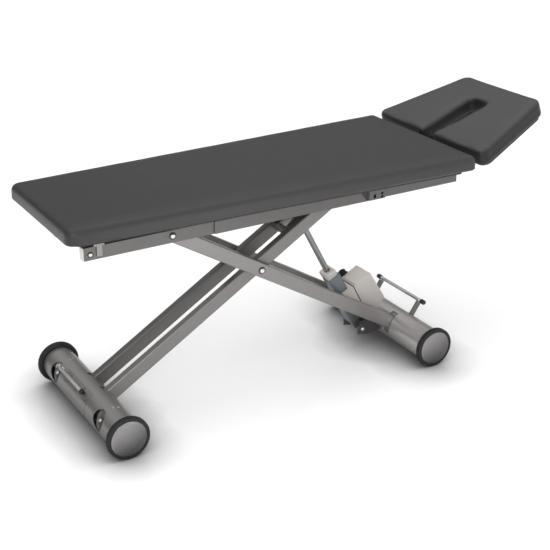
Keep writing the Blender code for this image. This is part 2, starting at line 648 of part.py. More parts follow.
def head_cross_member():
    """Member with hinge cheeks and pin, and the saddle of the gas spring below."""
    x = HEAD_MEMBER_X
    member = box("cross_member_head", (x, 0, MEMBER_Z), (0.0400, 0.2640, MEMBER_H), FRAME)
    for side, s in SIDES:
        join(member, slab("join_hinge_cheek_" + side, rounded(HINGE_CHEEK, 4), 0.0025,
                          loc=(x, s * 0.1000, CHEEK_Z)))
    join(member, rod("join_hinge_pin", (HINGE_X, 0, HINGE_Z), 0.0050, 0.2120, n=16))
    join(member, box("join_saddle", (x, 0, SPRING_Z + 0.0020), (0.0300, 0.0300, 0.0270)))
    cut(member, rod("cut_saddle", (x, 0, SPRING_Z), SPRING_R + GAP, 0.0800, axis="X"))


# ---------------------------------------------------------------- main section
BOARD_INSET = 0.045


def main_outline(x0, x1, half0, half1, r0, r1):
    """Tapered outline from the foot end (0) to the head end (1)."""
    return rounded([(x0, -half0, r0), (x1, -half1, r1), (x1, half1, r1), (x0, half0, r0)], 4)


def main_board():
    outline = main_outline(PAD_FOOT_X + BOARD_INSET, PAD_HEAD_X - 0.040,
                           PAD_FOOT_HALF - BOARD_INSET, PAD_HEAD_HALF - BOARD_INSET,
                           0.030, 0.010)
    slab("main_board", outline, BOARD_T / 2, PLY, (0, 0, PAD_Z0 - BOARD_T / 2 - GAP), flat=True)


def main_pad():
    outline = main_outline(PAD_FOOT_X, PAD_HEAD_X, PAD_FOOT_HALF, PAD_HEAD_HALF, 0.035, 0.016)
    pad = slab("main_pad", outline, PAD_T / 2, LEATHER, (0, 0, PAD_Z0 + PAD_T / 2), flat=True)
    bevel(pad, 0.018, 2, angle=60)


# ---------------------------------------------------------------- head section
# frame on the hinge axis; local +X runs along the section
HEAD_TILT = radians(17.8)
HEAD_PAD_X0 = 0.0174                    # hinge-side face of the pad
HEAD_PAD_X1 = HEAD_PAD_X0 + 0.3930
HEAD_PAD_Z0 = PAD_Z0 - HINGE_Z          # underside of the pad above the axis
HEAD_END_HALF = 0.2185
# slot open to the hinge side: half widths at its mouth and its closed end
MOUTH_HALF, SLOT_HALF, SLOT_END = 0.0240, 0.0440, HEAD_PAD_X0 + 0.2700
HEAD_BOARD_HALF = 0.0060
BAR_Y, BAR_H = 0.0850, 0.0160
BAR_TOP = HEAD_PAD_Z0 - 2 * HEAD_BOARD_HALF - 2 * GAP
BAR_Z = BAR_TOP - BAR_H / 2
# crank of the gas spring: its pin is straight below the hinge axis at mid travel
CRANK_R = 0.0650
TILT_MID = radians(-2.9)
CRANK_DIR = -pi / 2 - TILT_MID
CRANK_X, CRANK_Z = CRANK_R * cos(CRANK_DIR), CRANK_R * sin(CRANK_DIR)
# corners (x, z, radius)
CRANK = [(0.0580, BAR_TOP - 0.0030, 0), (0.0780, BAR_TOP - 0.0030, 0),
         (0.0780, BAR_TOP - 0.0150, 0.010), (CRANK_X + 0.0080, CRANK_Z - 0.0100, 0.0085),
         (CRANK_X - 0.0105, CRANK_Z - 0.0100, 0.0085),
         (CRANK_X - 0.0105, CRANK_Z + 0.0095, 0.008)]


def head_outline(inset, r_end, r_slot, n):
    """Tapered outline with the slot, shrunk by the inset."""
    x0, x1 = HEAD_PAD_X0 + inset, HEAD_PAD_X1 - inset
    wide, narrow = PAD_HEAD_HALF - inset, HEAD_END_HALF - inset * 0.6
    grow = inset * 0.3
    mouth, slot_half, slot_end = MOUTH_HALF + grow, SLOT_HALF + grow, SLOT_END + grow
    return rounded([(x0, -wide, 0.026), (x1, -narrow, r_end), (x1, narrow, r_end),
                    (x0, wide, 0.026), (x0, mouth, 0.0155), (slot_end, slot_half, r_slot),
                    (slot_end, -slot_half, r_slot), (x0, -mouth, 0.0155)], n)


def head_pad(frame):
    pad = slab("head_pad", head_outline(0, 0.042, 0.020, 4), PAD_T / 2, LEATHER,
               (0, 0, HEAD_PAD_Z0 + PAD_T / 2), frame, flat=True)
    bevel(pad, 0.014, 2, angle=60)


def head_board(frame):
    slab("head_board", head_outline(0.018, 0.030, 0.016, 3), HEAD_BOARD_HALF, PLY,
         (0, 0, HEAD_PAD_Z0 - HEAD_BOARD_HALF - GAP), frame, flat=True)


def head_hinge_frame(frame):
    """Two bars with ties, hinge eyes and the two-plate crank."""
    bar_x, bar_size = 0.2000, (0.3200, 0.0200, BAR_H)
    hinge = box("head_hinge_frame", (bar_x, -BAR_Y, BAR_Z), bar_size, FRAME, frame)
    join(hinge, box("join_bar_far", (bar_x, BAR_Y, BAR_Z), bar_size))
    for name, x in (("join_tie", 0.0680), ("join_tie_end", 0.3380)):
        join(hinge, box(name, (x, 0, BAR_Z), (0.0240, 2 * BAR_Y, 0.0156)))
    for side, s in SIDES:
        join(hinge, rod("join_eye_" + side, (0, s * BAR_Y, 0), 0.0090, 0.0190, n=20))
        join(hinge, box("join_neck_" + side, (0.0260, s * BAR_Y, -0.0072),
                        (0.0480, 0.0180, 0.0080)))
    for side, s in SIDES:
        join(hinge, slab("join_crank_" + side, rounded(CRANK, 4), 0.0020,
                         loc=(0, s * 0.0095, 0)))
    join(hinge, rod("join_crank_pin", (CRANK_X, 0, CRANK_Z), 0.0040, 0.0200, n=16))
    cut(hinge, rod("cut_eyes", ORIGIN, 0.0053, 0.2200, n=16))


def head_section():
    frame = joint("head_section_axis", (HINGE_X, 0, HINGE_Z), HEAD_TILT)
    head_pad(frame)
    head_board(frame)
    head_hinge_frame(frame)


# ---------------------------------------------------------------- gas spring
SPRING_R, SPRING_LEN = 0.0090, 0.2300
SPRING_X1 = HINGE_X - 0.0465            # head end of the cylinder
YOKE_X = HINGE_X + CRANK_R * sin(HEAD_TILT - TILT_MID)


def gas_spring_cylinder():
    cylinder = rod("gas_spring_cylinder", (SPRING_X1 - SPRING_LEN / 2, 0, SPRING_Z), SPRING_R,
                   SPRING_LEN, BLACK, "X")
    cut(cylinder, rod("cut_spring_bore", (SPRING_X1 - 0.0900, 0, SPRING_Z), 0.0045, 0.2000,
                      axis="X", n=16))


def gas_spring_rod():
    """Rod with a yoke round the crank pin."""
    x0, x1 = SPRING_X1 - 0.1300, YOKE_X - 0.0080
    yoke = (YOKE_X, 0, SPRING_Z)
    piston = rod("gas_spring_rod", ((x0 + x1) / 2, 0, SPRING_Z), 0.0040, x1 - x0, CHROME, "X", 16)
    join(piston, box("join_yoke", yoke, (0.0210, 0.0080, 0.0260)))
    upright = [(-z, x) for x, z in slot(-0.0038, 0.0038, 0.0050)]
    cut(piston, slab("cut_yoke", upright, 0.02, loc=yoke))


# ---------------------------------------------------------------- build
head_base()
foot_base()
axle("head", HEAD_X, end=0.1330, disc_y=0.1075)
axle("foot", FOOT_X, end=0.0900, disc_y=0.0750)
for tag, x in (("head", HEAD_X), ("foot", FOOT_X)):
    for side, s in SIDES:
        castor_fork(tag, side, x, s * CASTOR_Y)
        castor_wheel(tag, side, x, s * CASTOR_Y)
castor_lever()
castor_pedal()

outer_arms()
inner_arms()
turned("cross_pivot_shaft", (CROSS_X, 0, CROSS_Z), mirrored(CROSS_SHAFT), ZINC, n=18)
drive_bracket()
actuator()

for side, s in SIDES:
    rail(side, s)
    rail_end_cap(side, s)
    clamp_bracket(side, s)
    slide_block(side, s)
turned("frame_pivot_shaft", (FIXED_X, 0, TOP_PIVOT_Z), mirrored(FRAME_SHAFT), ZINC, n=18)
turned("slide_axle", (SLIDE_X, 0, TOP_PIVOT_Z), mirrored(SLIDE_AXLE), ZINC, n=20)
foot_cross_member()
head_cross_member()
main_board()
main_pad()
head_section()
gas_spring_cylinder()
gas_spring_rod()
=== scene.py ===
"""Looks of the medical exam table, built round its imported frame.

Metres, +Z up, +X to the head end. The base tubes and pad width run along Y, centred on Y = 0;
the near side is -Y and the far side +Y. The floor is at Z = 0.
The frame's parts keep their shape and place and only get materials. The two pads, the
rubber rings, the end caps, the lever and the small fittings are modelled here.
"""
import bpy
import bmesh
import json
from functools import cached_property
from math import sin, cos, tan, pi, radians, atan2
import numpy as np
from mathutils import Matrix, Vector


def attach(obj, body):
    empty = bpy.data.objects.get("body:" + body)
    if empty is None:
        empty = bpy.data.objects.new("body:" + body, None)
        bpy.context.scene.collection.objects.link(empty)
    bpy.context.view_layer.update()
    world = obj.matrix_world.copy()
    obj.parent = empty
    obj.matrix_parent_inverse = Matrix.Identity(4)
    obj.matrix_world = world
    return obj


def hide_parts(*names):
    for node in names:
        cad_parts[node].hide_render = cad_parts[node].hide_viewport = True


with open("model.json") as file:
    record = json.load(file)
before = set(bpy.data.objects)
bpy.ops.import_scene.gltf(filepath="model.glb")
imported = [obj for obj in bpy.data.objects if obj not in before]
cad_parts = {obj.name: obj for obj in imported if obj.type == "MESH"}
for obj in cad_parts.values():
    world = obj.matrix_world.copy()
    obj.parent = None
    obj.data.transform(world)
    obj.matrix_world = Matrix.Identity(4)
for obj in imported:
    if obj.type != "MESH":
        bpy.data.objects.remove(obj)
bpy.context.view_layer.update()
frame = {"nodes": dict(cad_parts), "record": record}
NODES = frame["nodes"]
SIDES = (("near", -1), ("far", 1))

# ---------------------------------------------------------------- dimensions shared with the frame
AXLE_SPAN = 1.2388
FOOT_X = -0.81725
HEAD_X = FOOT_X + AXLE_SPAN
AXLE_Z = 0.0753
TUBE_R = 0.0604
ARM_ANGLE = radians(31.1)
LOWER_ARM = AXLE_SPAN / 2 / cos(ARM_ANGLE)      # head axle to the crossing of the arms
UPPER_ARM = 0.410                               # crossing to the top frame
CROSS_X = HEAD_X - LOWER_ARM * cos(ARM_ANGLE)
CROSS_Z = AXLE_Z + LOWER_ARM * sin(ARM_ANGLE)
TOP_PIVOT_X = CROSS_X - UPPER_ARM * cos(ARM_ANGLE)
TOP_PIVOT_Z = CROSS_Z + UPPER_ARM * sin(ARM_ANGLE)
DRIVE_X, DRIVE_Z = FOOT_X + 1.0957, 0.0780
DRIVE_ANGLE = radians(118.0)
RAIL_Y = 0.1185
RAIL_MID_Z = (0.6370 + 0.6808) / 2
PAD_Z0, PAD_T = 0.7458, 0.0570                  # underside and thickness
PAD_FOOT_X, PAD_HEAD_X = FOOT_X - 0.1437, FOOT_X + 1.3845
PAD_FOOT_HALF, PAD_HEAD_HALF = 0.2676, 0.3250   # half widths
HINGE_X, HINGE_Z = FOOT_X + 1.3915, 0.7330
HEAD_TILT = radians(17.8)


# ---------------------------------------------------------------- node tools
class Nodes:
    """Short calls for building a node tree."""

    def __init__(self, tree):
        self.tree = tree

    def put(self, socket, value):
        """Links value if it is a socket, else sets it."""
        if isinstance(value, bpy.types.NodeSocket):
            self.tree.links.new(value, socket)
        else:
            socket.default_value = value

    def node(self, kind, **inputs):
        node = self.tree.nodes.new(kind)
        for key, value in inputs.items():
            self.put(node.inputs[key.replace("_", " ")], value)
        return node

    def remap(self, value, to=(0.0, 1.0), source=(0.3, 0.7)):
        return self.node("ShaderNodeMapRange", Value=value, From_Min=source[0], From_Max=source[1],
                         To_Min=to[0], To_Max=to[1]).outputs["Result"]

    def mix(self, factor, first, second):
        node = self.tree.nodes.new("ShaderNodeMix")
        node.data_type = "RGBA"
        for index, value in ((0, factor), (6, first), (7, second)):
            self.put(node.inputs[index], value)
        return node.outputs[2]

    def math(self, operation, first, second):
        node = self.tree.nodes.new("ShaderNodeMath")
        node.operation = operation
        self.put(node.inputs[0], first)
        self.put(node.inputs[1], second)
        return node.outputs[0]

    def vector_math(self, operation, *operands, scale=None):
        node = self.tree.nodes.new("ShaderNodeVectorMath")
        node.operation = operation
        for socket, value in zip(node.inputs, operands):
            self.put(socket, value)
        if scale is not None:
            node.inputs["Scale"].default_value = scale
        return node.outputs["Value" if operation in ("DOT_PRODUCT", "LENGTH") else "Vector"]


class Material(Nodes):
    """A material being built on its Principled shader."""

    def __init__(self, name):
        self.material = bpy.data.materials.new(name)
        self.material.use_nodes = True
        super().__init__(self.material.node_tree)
        self.shader = self.tree.nodes["Principled BSDF"]

    @cached_property
    def position(self):
        return self.node("ShaderNodeTexCoord").outputs["Object"]

    def noise(self, scale, detail=3.0, roughness=0.5, vector=None, output="Fac"):
        return self.node("ShaderNodeTexNoise", Vector=vector or self.position, Scale=scale,
                         Detail=detail, Roughness=roughness).outputs[output]

    def streaks(self, stretch, detail=2.0, roughness=0.5):
        """Noise drawn out by a scale along each axis."""
        drawn = self.node("ShaderNodeMapping", Vector=self.position, Scale=stretch)
        return self.noise(1.0, detail, roughness, vector=drawn.outputs["Vector"])

    def mottled(self, colour, scale, dark, light, detail=3.0):
        return self.mix(self.noise(scale, detail), shade(colour, dark), shade(colour, light))

    def tint(self, colour, factor):
        return self.vector_math("SCALE", colour, scale=factor)

    def surface_dot(self, direction):
        normal = self.node("ShaderNodeNewGeometry").outputs["Normal"]
        return self.vector_math("DOT_PRODUCT", normal, direction)

    def turned(self, base, toward, source, tints):
        """Painted light and shade: base scaled from the first tint to the second as the surface turns
        toward a direction.
        """
        facing = self.remap(self.surface_dot(toward), source=source)
        return self.mix(facing, self.tint(base, tints[0]), self.tint(base, tints[1]))

    def rim(self, base, dark, amount):
        """Painted dark reflection: base mixed toward dark where the surface turns away from the view.
        """
        grazing = self.node("ShaderNodeLayerWeight", Blend=0.5).outputs["Facing"]
        return self.mix(self.remap(grazing, to=(0.0, amount), source=(0.30, 0.85)), base, dark)

    def rounded_normal(self, radius):
        bevel = self.node("ShaderNodeBevel", Radius=radius)
        bevel.samples = 4
        return bevel.outputs["Normal"]

    def wear(self, rounded_normal):
        """1 on edges, where the rounded normal leaves the flat one."""
        flat = self.node("ShaderNodeNewGeometry").outputs["Normal"]
        return self.remap(self.vector_math("DOT_PRODUCT", rounded_normal, flat), source=(0.995, 0.88))

    def bump(self, height, strength, distance, normal=None):
        node = self.node("ShaderNodeBump", Height=height, Strength=strength, Distance=distance)
        if normal is not None:
            self.put(node.inputs["Normal"], normal)
        return node.outputs["Normal"]

    def finish(self, **inputs):
        for key, value in inputs.items():
            self.put(self.shader.inputs[key.replace("_", " ")], value)
        return self.material


def rgb(red, green, blue):
    return (red, green, blue, 1.0)


def grey(value):
    return rgb(value, value, value)


def shade(colour, factor):
    return rgb(*(min(1.0, channel * factor) for channel in colour[:3]))


# ---------------------------------------------------------------- material recipes
def powder_coat(name, colour, metal, rough, turn=None):
    """Satin paint with fine flecks, lighter where its edges are worn; turn adds painted light and
    shade by facing.
    """
    mat = Material(name)
    normal = mat.rounded_normal(radius=0.0014)
    worn = mat.wear(normal)
    base = mat.mottled(colour, scale=2.2, detail=2.0, dark=0.93, light=1.07)
    flecks = mat.remap(mat.noise(scale=2600, detail=1.0), source=(0.52, 0.66))
    base = mat.mix(flecks, base, shade(colour, 1.30))
    patches = mat.remap(mat.noise(scale=85), to=(0.05, 0.55))
    base = mat.mix(mat.math("MULTIPLY", worn, patches), base, shade(colour, 1.55))
    if turn:
        base = mat.turned(base, **turn)
    uneven = mat.remap(mat.noise(scale=14), to=(rough - 0.05, rough + 0.05))
    roughness = mat.math("ADD", uneven, mat.math("MULTIPLY", worn, -0.06))
    grain = mat.bump(mat.noise(scale=900, detail=2.0), strength=0.18, distance=0.00025, normal=normal)
    return mat.finish(Base_Color=base, Roughness=roughness, Metallic=metal, Normal=grain,
                      Coat_Weight=0.12, Coat_Roughness=0.35)


def plated(name, colour, rough, brush, spread, metal=1.0, edge=0.0008, rim=0.0):
    """Brushed metal; brush is the noise scale per axis, rim how far grazing faces darken as a painted
    dark reflection.
    """
    mat = Material(name)
    normal = mat.rounded_normal(radius=edge)
    lines = mat.streaks(brush)
    base = mat.mottled(colour, scale=9, dark=0.90, light=1.06)
    if rim:
        base = mat.rim(base, shade(colour, 0.10), rim)
    roughness = mat.math("ADD", mat.remap(lines, to=(rough - spread, rough + spread)),
                         mat.remap(mat.noise(scale=40), to=(0.0, 0.05)))
    return mat.finish(Base_Color=base, Roughness=roughness, Metallic=metal,
                      Normal=mat.bump(lines, strength=0.06, distance=0.0001, normal=normal))


def moulded(name, colour, rough, grain=1300, depth=0.22, edge=0.0018, specular=0.5, turn=None):
    """Moulded plastic with a cell grain of the given scale and bump strength; turn adds painted light
    and shade by facing.
    """
    mat = Material(name)
    normal = mat.rounded_normal(radius=edge)
    worn = mat.wear(normal)
    cells = mat.node("ShaderNodeTexVoronoi", Vector=mat.position, Scale=grain).outputs["Distance"]
    base = mat.mottled(colour, scale=7, dark=0.95, light=1.04)
    base = mat.mix(mat.math("MULTIPLY", worn, 0.35), base, shade(colour, 1.15))
    if turn:
        base = mat.turned(base, **turn)
    return mat.finish(Base_Color=base, Specular_IOR_Level=specular,
                      Roughness=mat.remap(mat.noise(scale=22), to=(rough - 0.05, rough + 0.07)),
                      Normal=mat.bump(cells, strength=depth, distance=0.0002, normal=normal))


def rubber(name, colour):
    """Dull rubber with a thin film of dust."""
    mat = Material(name)
    base = mat.mottled(colour, scale=30, detail=4.0, dark=0.8, light=1.25)
    dust = mat.remap(mat.noise(scale=11, detail=5.0, roughness=0.7), to=(0.0, 0.22),
                     source=(0.45, 0.75))
    base = mat.mix(dust, base, rgb(0.034, 0.033, 0.031))
    grain = mat.noise(scale=1500, detail=2.0)
    return mat.finish(Base_Color=base, Specular_IOR_Level=0.28,
                      Roughness=mat.remap(mat.noise(scale=55), to=(0.54, 0.72)),
                      Normal=mat.bump(grain, strength=0.25, distance=0.0003))


def leatherette(name, colour, side=1.0, fall=None):
    """Coated upholstery: a pebble grain of about a millimetre with finer creases in it.

    side darkens the upright faces and dulls their shine, as painted shade; fall is (dark X, full X,
    tint at dark X), painted shade toward the dark X.
    """
    mat = Material(name)
    drift = mat.tint(mat.noise(scale=420.0, detail=2.0, output="Color"), 0.0011)
    warped = mat.vector_math("ADD", mat.position, drift)
    cells = mat.node("ShaderNodeTexVoronoi", Vector=warped, Scale=780.0)
    cells.feature = "DISTANCE_TO_EDGE"
    pebble = mat.remap(cells.outputs["Distance"], source=(0.0, 0.22))
    creases = mat.noise(scale=2400)
    height = mat.math("ADD", mat.math("MULTIPLY", pebble, 0.75), mat.math("MULTIPLY", creases, 0.25))
    base = mat.mottled(colour, scale=3.0, dark=0.93, light=1.07)
    gaps = mat.math("MULTIPLY", mat.math("SUBTRACT", 1.0, pebble), 0.35)
    base = mat.mix(gaps, base, shade(colour, 0.55))
    roughness = mat.math("ADD", mat.remap(mat.noise(scale=5.0, detail=4.0), to=(0.40, 0.49)),
                         mat.math("MULTIPLY", pebble, -0.03))
    swell = mat.bump(mat.noise(scale=16, detail=2.0), strength=0.10, distance=0.0015)
    specular = 0.50
    # painted shade: darker toward the dark X
    if fall:
        dark_x, full_x, tint = fall
        x = mat.node("ShaderNodeSeparateXYZ", Vector=mat.position).outputs["X"]
        base = mat.mix(mat.remap(x, source=(dark_x, full_x)), mat.tint(base, tint), base)
    # painted shade on the upright faces, with less shine there
    if side < 1.0:
        level = mat.remap(mat.surface_dot((0.0, 0.0, 1.0)), source=(0.25, 0.85))
        base = mat.mix(level, mat.mix(1.0 - side, base, grey(0.0)), base)
        specular = mat.remap(level, to=(0.50 * side, 0.50), source=(0.0, 1.0))
    return mat.finish(Base_Color=base, Roughness=roughness, Specular_IOR_Level=specular,
                      Sheen_Weight=0.03, Sheen_Roughness=0.45,
                      Normal=mat.bump(height, strength=0.30, distance=0.00035, normal=swell))


def coated_ply(name, colour):
    mat = Material(name)
    grain = mat.streaks((6, 130, 130), detail=5.0, roughness=0.6)
    base = mat.mix(mat.remap(grain), shade(colour, 0.70), shade(colour, 1.35))
    normal = mat.rounded_normal(radius=0.0010)
    return mat.finish(Base_Color=base, Roughness=mat.remap(grain, to=(0.62, 0.80)),
                      Normal=mat.bump(grain, strength=0.25, distance=0.0004, normal=normal))


def pedal_two_tone():
    """Chrome on the cross bar, grey paint on the posts nearer the head axle."""
    mat = Material("pedal_two_tone")
    axle = NODES["pedal_frame"].matrix_world.inverted() @ Vector((HEAD_X, 0.0, AXLE_Z))
    offset = mat.vector_math("SUBTRACT", mat.position, axle)
    radius = mat.vector_math("LENGTH", mat.vector_math("MULTIPLY", offset, (1.0, 0.0, 1.0)))
    bar = mat.remap(radius, source=(0.1140, 0.1165))
    normal = mat.rounded_normal(radius=0.0008)
    lines = mat.streaks((900, 40, 900))
    # the bar's chrome darkens at grazing faces: painted dark reflection
    bright = mat.rim(rgb(0.62, 0.62, 0.615), grey(0.06), 0.9)
    paint = mat.mix(mat.noise(scale=9), rgb(0.105, 0.102, 0.100), rgb(0.125, 0.121, 0.119))
    duller_paint = mat.math("MULTIPLY", mat.math("SUBTRACT", 1.0, bar), 0.28)
    return mat.finish(
        Base_Color=mat.mix(bar, paint, bright),
        Roughness=mat.math("ADD", mat.remap(lines, to=(0.10, 0.16)), duller_paint),
        Metallic=mat.remap(bar, to=(0.35, 1.0), source=(0.0, 1.0)),
        Normal=mat.bump(lines, strength=0.05, distance=0.0001, normal=normal))


# ---------------------------------------------------------------- materials
FRAME_RGB = (0.208, 0.199, 0.195)
# painted light and shade by the way a surface faces: direction, range of the facing, tint at each end
# of it
CAP_PAINTED_SHADING = dict(toward=(-0.6, 0.0, 0.8), source=(-0.12, 0.14), tints=(0.55, 1.30))
CASING_PAINTED_SHADING = dict(toward=(0.0, 0.0, 1.0), source=(0.10, 0.80), tints=(0.84, 1.42))
FOOT_PAINTED_SHADING = dict(toward=(0.0, 0.0, 1.0), source=(0.15, 0.95), tints=(0.74, 1.36))
# brush grain: noise scale along x, y, z
BRUSH_ALONG_Y = (900, 40, 900)
BRUSH_FINE = (500, 500, 500)
BRUSH_MEDIUM = (300, 300, 300)


def frame_paint(name, brightness, metal=0.72, rough=0.36, turn=None):
    return powder_coat("frame_paint_" + name, shade(FRAME_RGB, brightness), metal, rough, turn)


coat = frame_paint("satin", 1.0)
# end caps: painted light toward the upper left, painted shade toward the bottom
coat_cap_painted_shading = powder_coat("cap_metal_satin", (0.165, 0.161, 0.160), metal=0.85, rough=0.30,
                       turn=CAP_PAINTED_SHADING)
tread = rubber("rubber_ring", (0.0105, 0.0105, 0.0103))
# rim paints a dark reflection along the grazing faces of the chrome
chrome = plated("chrome_polished", (0.66, 0.66, 0.655), rough=0.12, brush=BRUSH_ALONG_Y,
                spread=0.03, rim=0.9)
# spindle and gas spring rods: a darker copy of the chrome, painted shade
spindle_chrome_painted_shade = plated("chrome_spindle", (0.23, 0.23, 0.228), rough=0.19, brush=(700, 700, 700),
                        spread=0.05, rim=0.95)
zinc = plated("zinc_plate", (0.66, 0.655, 0.63), rough=0.26, brush=(500, 120, 500), spread=0.06)
# casing: painted light on its upward faces, painted shade on its upright ones
cream = moulded("casing_cream", (0.440, 0.413, 0.388), rough=0.42, turn=CASING_PAINTED_SHADING)
cream_cap = moulded("end_cap_cream", (0.60, 0.585, 0.55), rough=0.50, grain=1500, depth=0.18,
                    edge=0.0008)
slate = plated("housing_slate", (0.128, 0.140, 0.152), rough=0.36, brush=(90, 1500, 1500),
               spread=0.05, metal=0.55, edge=0.0016)
black = moulded("moulded_black", (0.013, 0.013, 0.014), rough=0.32, grain=1700, depth=0.12,
                edge=0.0010)
dark_metal = plated("dark_metal", (0.055, 0.053, 0.052), rough=0.42, brush=BRUSH_MEDIUM,
                    spread=0.06, metal=0.8)
window_metal = plated("window_metal", (0.150, 0.146, 0.143), rough=0.34, brush=BRUSH_MEDIUM,
                      spread=0.06, metal=0.8)
# head tube: almost twice as light as the frame paint, painted light
coat_head_tube_painted_light = frame_paint("head_tube", 1.95)
# foot tube and its cover: darker copies of the frame paint, painted shade, with painted light toward
# the top
coat_foot_painted_shading = frame_paint("foot_tube", 0.88, turn=FOOT_PAINTED_SHADING)
coat_cover_painted_shading = frame_paint("foot_cover", 0.84, turn=FOOT_PAINTED_SHADING)
# inner arms: darker copies of the frame paint, painted shade, the far one darker still
coat_inner_painted_shade = frame_paint("inner_arm", 0.82)
coat_inner_far_painted_shade = frame_paint("inner_arm_far", 0.52)
# drive bracket: a much darker copy of the frame paint, painted shade
coat_bracket_painted_shade = frame_paint("bracket", 0.42, metal=0.60, rough=0.40)
# rails and clamp brackets: a darker copy of the frame paint, painted shade from the pad above
coat_rail_painted_shade = frame_paint("rail", 0.52, metal=0.60, rough=0.40)
bar_chrome = plated("chrome_lever", (0.70, 0.70, 0.695), rough=0.30, brush=BRUSH_ALONG_Y,
                    spread=0.03)
ball_black = moulded("ball_black", (0.007, 0.007, 0.0075), rough=0.30, grain=1700, depth=0.10,
                     edge=0.0010, specular=0.35)
# near-black, matt and almost unshiny: painted shade for the inside of the clamp slot; the clamp
# screws use it too
pit_black = moulded("pit_black", (0.003, 0.003, 0.003), rough=0.80, grain=1700, depth=0.05,
                    edge=0.0004, specular=0.05)
matt_black = moulded("motor_black", (0.0085, 0.0085, 0.009), rough=0.62, grain=1500, depth=0.15,
                     edge=0.0012, specular=0.22)
stud_metal = plated("stud_metal", (0.46, 0.455, 0.45), rough=0.30, brush=BRUSH_FINE, spread=0.05)
# near-black strip for the drive casing's seam: painted shade of the gap
seam_shade = rubber("painted_seam_shade", (0.0060, 0.0060, 0.0060))
ply = coated_ply("board_dark_ply", (0.026, 0.024, 0.0225))
nylon = moulded("nylon", (0.50, 0.49, 0.46), rough=0.48, grain=1100, depth=0.15, edge=0.0012)
# main pad: painted shade toward its foot end; head pad: a lighter copy of the same leather, painted
# light, with painted shade on its upright faces
skin_main = leatherette("leatherette_main", (0.0215, 0.0215, 0.0218), fall=(-0.96, -0.40, 0.66))
skin_head_painted_shading = leatherette("leatherette_head", (0.0345, 0.0345, 0.0348), side=0.46)

# looks by the frame's material slot, and those of single parts that differ from their slot's, several
# of them lighter or darker copies that paint light and shade
SLOT_LOOK = {"frame_paint": coat, "cap_metal": coat_cap_painted_shading, "rubber": tread, "chrome": chrome,
             "zinc": zinc, "cream_plastic": cream, "grey_alloy": slate, "black_plastic": black,
             "board": ply, "leatherette": skin_main, "nylon": nylon}
PART_LOOK = {"spindle_rod": spindle_chrome_painted_shade, "gas_spring_rod": spindle_chrome_painted_shade,
             "rail_end_cap_near": cream_cap, "rail_end_cap_far": cream_cap,
             "rail_near": coat_rail_painted_shade, "rail_far": coat_rail_painted_shade,
             "clamp_bracket_near": coat_rail_painted_shade, "clamp_bracket_far": coat_rail_painted_shade,
             "head_tube": coat_head_tube_painted_light, "foot_tube": coat_foot_painted_shading, "foot_cover": coat_cover_painted_shading,
             "inner_arm_near": coat_inner_painted_shade, "inner_arm_far": coat_inner_far_painted_shade,
             "drive_bracket": coat_bracket_painted_shade, "drive_motor": matt_black,
             "pedal_frame": pedal_two_tone()}


# ---------------------------------------------------------------- frame parts
def smooth_group(angle):
    """Shading only: joins coincident corners and shades smooth across shallow edges."""
    group = bpy.data.node_groups.new("shade_by_angle", "GeometryNodeTree")
    for direction in ("INPUT", "OUTPUT"):
        group.interface.new_socket("Geometry", in_out=direction, socket_type="NodeSocketGeometry")
    source = group.nodes.new("NodeGroupInput")
    result = group.nodes.new("NodeGroupOutput")
    drop_normals = group.nodes.new("GeometryNodeRemoveAttribute")
    drop_normals.inputs["Name"].default_value = "custom_normal"
    weld = group.nodes.new("GeometryNodeMergeByDistance")
    weld.inputs["Distance"].default_value = 0.00001
    smooth_faces = group.nodes.new("GeometryNodeSetShadeSmooth")
    smooth_faces.domain = "FACE"
    edge_angle = group.nodes.new("GeometryNodeInputMeshEdgeAngle")
    shallow = group.nodes.new("FunctionNodeCompare")
    shallow.data_type = "FLOAT"
    shallow.operation = "LESS_THAN"
    shallow.inputs[1].default_value = angle
    smooth_edges = group.nodes.new("GeometryNodeSetShadeSmooth")
    smooth_edges.domain = "EDGE"
    chain = (source, drop_normals, weld, smooth_faces, smooth_edges, result)
    for before, after in zip(chain, chain[1:]):
        group.links.new(before.outputs[0], after.inputs["Geometry"])
    group.links.new(edge_angle.outputs["Unsigned Angle"], shallow.inputs[0])
    group.links.new(shallow.outputs[0], smooth_edges.inputs["Shade Smooth"])
    return group


shading = smooth_group(radians(34))
for part in frame["record"]["subparts"]:
    node = NODES[part["node"]]
    look = PART_LOOK.get(part["node"], SLOT_LOOK[part["material_slot"]])
    for material_slot in node.material_slots:
        material_slot.material = look
    node.modifiers.new("shading", "NODES").node_group = shading


# ---------------------------------------------------------------- mesh tools
def add_object(name, data):
    obj = bpy.data.objects.new(name, data)
    bpy.context.scene.collection.objects.link(obj)
    return obj


def mesh_object(name, bm):
    mesh = bpy.data.meshes.new(name)
    bm.to_mesh(mesh)
    bm.free()
    return add_object(name, mesh)


def finished(name, bm, look, matrix, sharp):
    """Object from bm, smooth but for edges over sharp degrees, moved by matrix."""
    bmesh.ops.remove_doubles(bm, verts=bm.verts, dist=0.000002)
    bmesh.ops.recalc_face_normals(bm, faces=bm.faces)
    obj = mesh_object(name, bm)
    obj.data.materials.append(look)
    obj.data.shade_smooth()
    obj.data.set_sharp_from_angle(angle=radians(sharp))
    if matrix is not None:
        obj.data.transform(matrix)
    return obj


